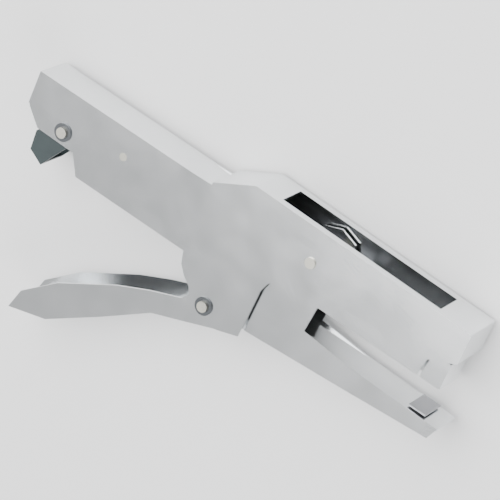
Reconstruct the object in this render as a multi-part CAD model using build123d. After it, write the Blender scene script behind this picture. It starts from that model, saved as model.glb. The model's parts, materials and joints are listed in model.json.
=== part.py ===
"""Plier stapler lying on its side: +X to the nose, +Y to the top, +Z across the width."""
from build123d import *
import os

os.makedirs("parts", exist_ok=True)

# Driving dimensions, mm. Pivots are given in the side plane, from the main pivot.
SHEET = 0.9
HEAD_HALF = 9.0
HANDLE_HALF = 7.7
LEVER_HALF = 7.95
ARM_HALF = 6.95
MAGAZINE_HALF = 5.95
PIN_RADIUS = 2.0
PIN_HEAD_RADIUS = 3.4
PIN_HEAD = 1.0
RUNNING_FIT = 0.05
ARM_PIVOT = (28.9, 37.1)
LOCK_PIVOT = (-74.7, 24.9)
MAGAZINE_PIVOT = (-50.0, 30.0)
MAGAZINE_PIN_RADIUS = 1.5
DRIVE_PIN = (5.8, 15.2)
DRIVE_TRAVEL = (0.85, 0.75)
SLOT_CLEARANCE = 0.35
NOSE_FRONT = 88.0
HEAD_TOP = 50.0
HANDLE_TOP = 40.0
MAGAZINE_BOTTOM = 25.0
MAGAZINE_TOP = 33.0
ROD_HEIGHT = 31.0
ROD_RADIUS = 0.8
MID = HEAD_HALF + PIN_HEAD


def plate(points, low, high):
    """A flat plate with the given side outline, between two heights."""
    outline = make_face(Polyline(*points, close=True))
    return Pos(0, 0, low) * extrude(outline, high - low, dir=(0, 0, 1))


def across(points, half):
    """The same outline through the full width, centred on the middle plane."""
    return plate(points, MID - half, MID + half)


def walls(points, half, sheet=SHEET):
    """Two side plates that share one outline."""
    return across(points, half) - across(points, half - sheet)


def rod(centre, radius, low, high):
    """A cylinder across the width."""
    return Pos(centre[0], centre[1], (low + high) / 2) * Cylinder(radius, high - low)


def through(centre, radius, half=20.0):
    """A rod through the middle plane, used for pins and for the holes they run in."""
    return rod(centre, radius, MID - half, MID + half)


def block(x, y, half):
    """A box given by its X and Y ends and its half width."""
    return across([(x[0], y[0]), (x[1], y[0]), (x[1], y[1]), (x[0], y[1])], half)


def save(name, shape):
    export_step(shape, f"parts/{name}.step")


def body_shell():
    handle_walls = walls([(-91.5, 33), (-90.8, 26.4), (-84.7, 20.5), (-68.4, 20.2), (-64, 12.8), (-0.6, 12.8),
                          (-0.6, 24), (-10, 24), (-10, 40.5), (-22.7, HANDLE_TOP), (-91.5, HANDLE_TOP)],
                         HANDLE_HALF)
    handle_top = block((-91.5, -14), (HANDLE_TOP - SHEET, HANDLE_TOP), HANDLE_HALF)
    rear_end = block((-91.5, -91.5 + SHEET), (27, HANDLE_TOP), HANDLE_HALF)
    head_walls = walls([(-15, 12.8), (-13.9, 8.8), (-11.3, 5.5), (-7.9, 2.8), (-6.5, -1), (-4.5, -5), (0, -6.5),
                        (8, -5), (15.9, -2.4), (16.5, 17), (18, 21.4), (23.4, 24.4), (79, 24.4), (80, 31.5),
                        (NOSE_FRONT + 2, 36), (NOSE_FRONT + 2, HEAD_TOP - 2), (0, HEAD_TOP), (-15, HEAD_TOP - 8)],
                       HEAD_HALF)
    head_top = across([(-15, HEAD_TOP - 8), (0, HEAD_TOP), (NOSE_FRONT + 2, HEAD_TOP - 2),
                       (NOSE_FRONT + 2, HEAD_TOP - 2 - SHEET), (0, HEAD_TOP - SHEET),
                       (-15, HEAD_TOP - 8 - SHEET)], HEAD_HALF)
    step = block((-15, -15 + SHEET), (12.8, HEAD_TOP - 8), HEAD_HALF)
    step -= block((-16, -13), (12.0, HANDLE_TOP - SHEET), HANDLE_HALF - SHEET)
    cap = block((NOSE_FRONT + 2 - SHEET, NOSE_FRONT + 2), (36.3, HEAD_TOP - 2), HEAD_HALF)
    shell = handle_walls + handle_top + rear_end + head_walls + head_top + step + cap
    shell -= block((9.6, 75.8), (44, HEAD_TOP + 1), 6.0)
    shell -= through((0, 0), PIN_RADIUS + RUNNING_FIT)
    shell -= through(ARM_PIVOT, PIN_RADIUS)
    shell -= through(LOCK_PIVOT, PIN_RADIUS)
    shell -= through(MAGAZINE_PIVOT, MAGAZINE_PIN_RADIUS)
    return shell


def headed_pin(centre, radius, half):
    """A pin with a head under the far side."""
    low = MID - half
    head = rod(centre, PIN_HEAD_RADIUS, low - PIN_HEAD, low)
    return head + rod(centre, radius, low, MID + half + 1.6)


def clip(centre, half):
    """The retaining ring on a pin's free end."""
    low = MID + half
    return rod(centre, PIN_HEAD_RADIUS, low, low + 0.6) - rod(centre, PIN_RADIUS, low, low + 0.6)


def mirror_pair(centre, radius, inner, outer, bore=0.0):
    """Two equal round pieces, one on each side."""
    group = []
    for side in (-1, 1):
        low, high = sorted((MID + side * inner, MID + side * outer))
        piece = rod(centre, radius, low, high)
        if bore:
            piece -= rod(centre, bore, low, high)
        group.append(piece)
    return Compound(children=group)


def hand_lever():
    side = [(-69.5, -46.7), (-67.1, -38.3), (-54.9, -26.9), (-33.7, -13.9), (-21.8, -8.2), (-9.4, -3.2),
            (-5.5, 2), (0.8, 12), (1.3, 16), (3.5, 19), (7, 20), (10.4, 17), (10.8, 13), (8, 4), (6, -6),
            (-7.9, -11.4), (-17.5, -15), (-34.6, -28.2), (-54.1, -42.3)]
    floor = [(-69.5, -46.7), (-54.1, -42.3), (-34.6, -28.2), (-17.5, -15), (-7.9, -11.4),
             (-7.9, -11.4 + SHEET), (-17.8, -15 + SHEET), (-35, -28.2 + SHEET), (-54.4, -42.3 + SHEET),
             (-69.2, -46.7 + SHEET)]
    lever = walls(side, LEVER_HALF) + across(floor, LEVER_HALF)
    lever -= through((0, 0), PIN_RADIUS + RUNNING_FIT)
    lever -= through(DRIVE_PIN, PIN_RADIUS)
    return lever


def anvil_arm():
    side = [(16.3, -0.2), (56.2, 2.6), (91, 5.3), (93, 10.3), (56.4, 11.1), (36, 13), (37.5, 30), (38.4, 37.1),
            (35.5, 44), (28.9, 46.3), (22.5, 44), (14, 30), (1, 19.5), (1, 11)]
    web = [(20.3, 12.5), (36, 12), (56.4, 11.1), (93, 10.3), (93, 10.3 - SHEET), (56.4, 11.1 - SHEET),
           (20.3, 12.5 - SHEET)]
    arm = walls(side, ARM_HALF) + across(web, ARM_HALF)
    arm -= through(ARM_PIVOT, PIN_RADIUS + RUNNING_FIT)
    for share in (0.0, 0.5, 1.0):
        centre = (DRIVE_PIN[0] + share * DRIVE_TRAVEL[0], DRIVE_PIN[1] + share * DRIVE_TRAVEL[1])
        arm -= through(centre, PIN_RADIUS + SLOT_CLEARANCE)
    return arm


def magazine_channel():
    outer = block((-54, 84), (MAGAZINE_BOTTOM, MAGAZINE_TOP), MAGAZINE_HALF)
    inner = block((-55, 85), (MAGAZINE_BOTTOM + SHEET, MAGAZINE_TOP + 1), MAGAZINE_HALF - SHEET / 2)
    return outer - inner - through(MAGAZINE_PIVOT, MAGAZINE_PIN_RADIUS + RUNNING_FIT)


def nose_piece():
    outer = block((79.5, NOSE_FRONT - 0.3), (23.3, 33.5), ARM_HALF - 0.1)
    return outer - block((78, NOSE_FRONT - 0.3 - SHEET), (22, 35), MAGAZINE_HALF)


def handle_lock():
    side = [(-78.9, 8.3), (-84.8, 11.4), (-85.2, 18.9), (-78, 28), (-71.5, 27), (-71, 21)]
    lock = walls(side, HANDLE_HALF - SHEET - 0.15)
    lock += across([(-78.9, 8.3), (-84.8, 11.4), (-84.4, 12.2), (-78.5, 9.2)], HANDLE_HALF - SHEET - 0.15)
    return lock - through(LOCK_PIVOT, PIN_RADIUS + RUNNING_FIT)


def along(x, height, radius):
    """A cylinder that lies along the middle plane, between two X values."""
    return Pos((x[0] + x[1]) / 2, height, MID) * Rot(0, 90, 0) * Cylinder(radius, x[1] - x[0])


def follower():
    """The block that pushes the staples, bored for its rod."""
    pusher = block((36, 39.7), (29.2, 32.8), 5.0)
    return pusher - along((35, 41), ROD_HEIGHT, ROD_RADIUS + RUNNING_FIT)


save("body_shell", body_shell())
save("main_pivot_pin", headed_pin((0, 0), PIN_RADIUS, HEAD_HALF))
save("main_pin_clip", clip((0, 0), HEAD_HALF))
save("lock_pin", headed_pin(LOCK_PIVOT, PIN_RADIUS, HANDLE_HALF))
save("lock_pin_clip", clip(LOCK_PIVOT, HANDLE_HALF))
save("arm_pivot_rivets", mirror_pair(ARM_PIVOT, PIN_RADIUS, ARM_HALF - SHEET, HEAD_HALF + 0.6))
save("arm_pivot_washers", mirror_pair(ARM_PIVOT, 4.0, ARM_HALF + 0.05, HEAD_HALF - SHEET, PIN_RADIUS))
save("magazine_hinge_pin", through(MAGAZINE_PIVOT, MAGAZINE_PIN_RADIUS, HANDLE_HALF))
save("hand_lever", hand_lever())
save("drive_pin", through(DRIVE_PIN, PIN_RADIUS, LEVER_HALF))
save("anvil_arm", anvil_arm())
save("anvil_plate", block((80, 87), (11.1, 11.7), 5.6))
save("magazine_channel", magazine_channel())
save("nose_piece", nose_piece())
save("staple_core", block((-30, 84), (MAGAZINE_BOTTOM + SHEET, 29.0), 4.6))
save("staple_strip", walls([(40, 26), (84, 26), (84, 29.6), (40, 29.6)], 5.3, 0.5)
     + block((40, 84), (29.1, 29.6), 5.3))
save("follower", follower())
save("follower_rod", along((-30, 40), ROD_HEIGHT, ROD_RADIUS))
save("follower_spring", along((-29, 35.8), ROD_HEIGHT, 1.8) - along((-29, 35.8), ROD_HEIGHT, 1.0))
save("driver_blade", block((85.1, 85.9), (34.2, 45.0), 5.4))
save("driver_holder", block((80, 86.5), (45.0, 47.0), 5.4))
save("handle_lock", handle_lock())
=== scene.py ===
# %% [markdown]
# A plier stapler is pressed from sheet steel and plated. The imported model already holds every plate,
# pin and channel, so this lesson loads it and spends its effort on the finishes and the light.

# %% Load the frame
import bpy
import json
from mathutils import Matrix, Vector

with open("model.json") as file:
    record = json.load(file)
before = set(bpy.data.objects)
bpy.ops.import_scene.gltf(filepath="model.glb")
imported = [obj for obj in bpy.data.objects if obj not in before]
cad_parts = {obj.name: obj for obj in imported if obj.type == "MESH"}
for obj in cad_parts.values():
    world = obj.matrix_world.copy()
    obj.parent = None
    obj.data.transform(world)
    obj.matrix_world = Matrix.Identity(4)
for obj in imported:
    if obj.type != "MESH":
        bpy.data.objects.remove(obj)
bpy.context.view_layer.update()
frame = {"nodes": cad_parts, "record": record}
print("nodes", len(frame["nodes"]))

# %% [markdown]
# A real surface isn't one flat colour. Handling leaves soft patches that differ a little in tint and in
# roughness, and a fine grain bends the reflections. Both could be painted as images. Noise textures on
# Object coordinates are used instead, because they need no unwrapping and stay fixed to the piece.

# %% A surface with soft patches and a fine grain
PATCH_SCALE = 90.0
PATCH_DETAIL = 5.0
GRAIN_SCALE = 1800.0
GRAIN_DEPTH = 0.0002
GRAIN_STRENGTH = 0.05
SMOOTHEST = 0.75
ROUGHEST = 1.3


def surface(name, light, dark, roughness, metallic=1.0, grain_strength=GRAIN_STRENGTH):
    """A procedural material that varies between a light and a dark tint."""
    finish = bpy.data.materials.new(name)
    finish.use_nodes = True
    nodes = finish.node_tree.nodes
    links = finish.node_tree.links
    shader = nodes["Principled BSDF"]
    shader.inputs["Metallic"].default_value = metallic
    place = nodes.new("ShaderNodeTexCoord")
    patches = nodes.new("ShaderNodeTexNoise")
    patches.inputs["Scale"].default_value = PATCH_SCALE
    patches.inputs["Detail"].default_value = PATCH_DETAIL
    links.new(place.outputs["Object"], patches.inputs["Vector"])
    tint = nodes.new("ShaderNodeValToRGB")
    tint.color_ramp.elements[0].color = (*dark, 1.0)
    tint.color_ramp.elements[1].color = (*light, 1.0)
    links.new(patches.outputs["Fac"], tint.inputs["Fac"])
    links.new(tint.outputs["Color"], shader.inputs["Base Color"])
    rough = nodes.new("ShaderNodeMapRange")
    rough.inputs["To Min"].default_value = roughness * SMOOTHEST
    rough.inputs["To Max"].default_value = roughness * ROUGHEST
    links.new(patches.outputs["Fac"], rough.inputs["Value"])
    links.new(rough.outputs["Result"], shader.inputs["Roughness"])
    grain = nodes.new("ShaderNodeTexNoise")
    grain.inputs["Scale"].default_value = GRAIN_SCALE
    links.new(place.outputs["Object"], grain.inputs["Vector"])
    relief = nodes.new("ShaderNodeBump")
    relief.inputs["Strength"].default_value = grain_strength
    relief.inputs["Distance"].default_value = GRAIN_DEPTH
    links.new(grain.outputs["Fac"], relief.inputs["Height"])
    links.new(relief.outputs["Normal"], shader.inputs["Normal"])
    return finish


# %% [markdown]
# The plates are chrome plated, the pins are nickel, the rings are oiled steel and the lock is enamelled.
# The enamel isn't a metal, so its metallic value is zero. Each node takes the finish of its slot.

# %% The finishes, and the nodes that take them
FINISHES = {
    "chrome": surface("plated_chrome", (0.86, 0.87, 0.88), (0.74, 0.76, 0.77), 0.16),
    "nickel": surface("nickel_pin", (0.72, 0.70, 0.62), (0.58, 0.57, 0.50), 0.30),
    "dark_steel": surface("oiled_ring", (0.16, 0.17, 0.18), (0.08, 0.085, 0.09), 0.35),
    "spring_steel": surface("spring_steel", (0.48, 0.48, 0.50), (0.34, 0.35, 0.37), 0.35),
    "staple_wire": surface("staple_wire", (0.78, 0.78, 0.80), (0.62, 0.62, 0.64), 0.22),
    "black_paint": surface("black_enamel", (0.035, 0.05, 0.052), (0.02, 0.03, 0.032), 0.38, metallic=0.0),
}
slots = {part["node"]: part["material_slot"] for part in frame["record"]["subparts"]}
for node, slot in slots.items():
    part = bpy.data.objects[node]
    part.data.materials.clear()
    part.data.materials.append(FINISHES[slot])
print("finished nodes", len(slots))

# %% [markdown]
# The camera looks down on the upper side from above the nose. Its three directions are the columns of a
# rotation, which avoids working out three angles. A long lens from a metre away keeps perspective weak.

# %% Camera
RIGHT = Vector((0.785, 0.359, -0.505)).normalized()
BACK = Vector((0.322, 0.461, 0.827)).normalized()
UP = BACK.cross(RIGHT).normalized()
RIGHT = UP.cross(BACK).normalized()
MIDDLE = Vector((0.0037, 0.0233, 0.010))
DISTANCE = 1.0
LENS_MM = 211.0
lens = bpy.data.cameras.new("camera")
lens.lens = LENS_MM
camera = bpy.data.objects.new("camera", lens)
turn = Matrix((RIGHT, UP, BACK)).transposed().to_4x4()
camera.matrix_world = Matrix.Translation(MIDDLE + BACK * DISTANCE) @ turn
bpy.context.scene.collection.objects.link(camera)
bpy.context.scene.camera = camera
print("camera", LENS_MM, "mm lens")

# %% [markdown]
# A pale floor lies just under the object, so that the two faces don't flicker through each other.

# %% Floor
FLOOR_SIZE = 4.0
FLOOR_DROP = 0.0005
bpy.ops.mesh.primitive_plane_add(size=FLOOR_SIZE, location=(0, 0, -FLOOR_DROP))
floor = bpy.context.object
floor.name = "floor"
floor_finish = surface("pale_floor", (0.92, 0.92, 0.92), (0.9, 0.9, 0.9), 0.8, metallic=0.0,
                       grain_strength=0.01)
floor.data.materials.append(floor_finish)
print("floor", FLOOR_SIZE, "m wide")

# %% [markdown]
# Plating shows what surrounds it. Three large area lights and a pale world give it broad, soft shapes to
# reflect, where small lamps would leave hard spots.

# %% Lights
LAMP_DISTANCE = 1.2
WORLD_COLOUR = (0.95, 0.96, 0.97, 1.0)
WORLD_STRENGTH = 0.7


def soft_light(name, direction, power, size):
    """An area light that faces the object."""
    lamp = bpy.data.lights.new(name, "AREA")
    lamp.energy = power
    lamp.size = size
    holder = bpy.data.objects.new(name, lamp)
    way = Vector(direction).normalized()
    facing = way.to_track_quat("Z", "Y").to_matrix().to_4x4()
    holder.matrix_world = Matrix.Translation(MIDDLE + way * LAMP_DISTANCE) @ facing
    bpy.context.scene.collection.objects.link(holder)
    print("light", name)


soft_light("key", (-0.3, 0.2, 1.0), 26.0, 1.4)
soft_light("fill", (0.9, -0.5, 0.5), 10.0, 1.0)
soft_light("top", (-0.4, 1.0, 0.4), 12.0, 1.2)
world = bpy.data.worlds.new("studio")
world.use_nodes = True
background = world.node_tree.nodes["Background"]
background.inputs["Color"].default_value = WORLD_COLOUR
background.inputs["Strength"].default_value = WORLD_STRENGTH
bpy.context.scene.world = world
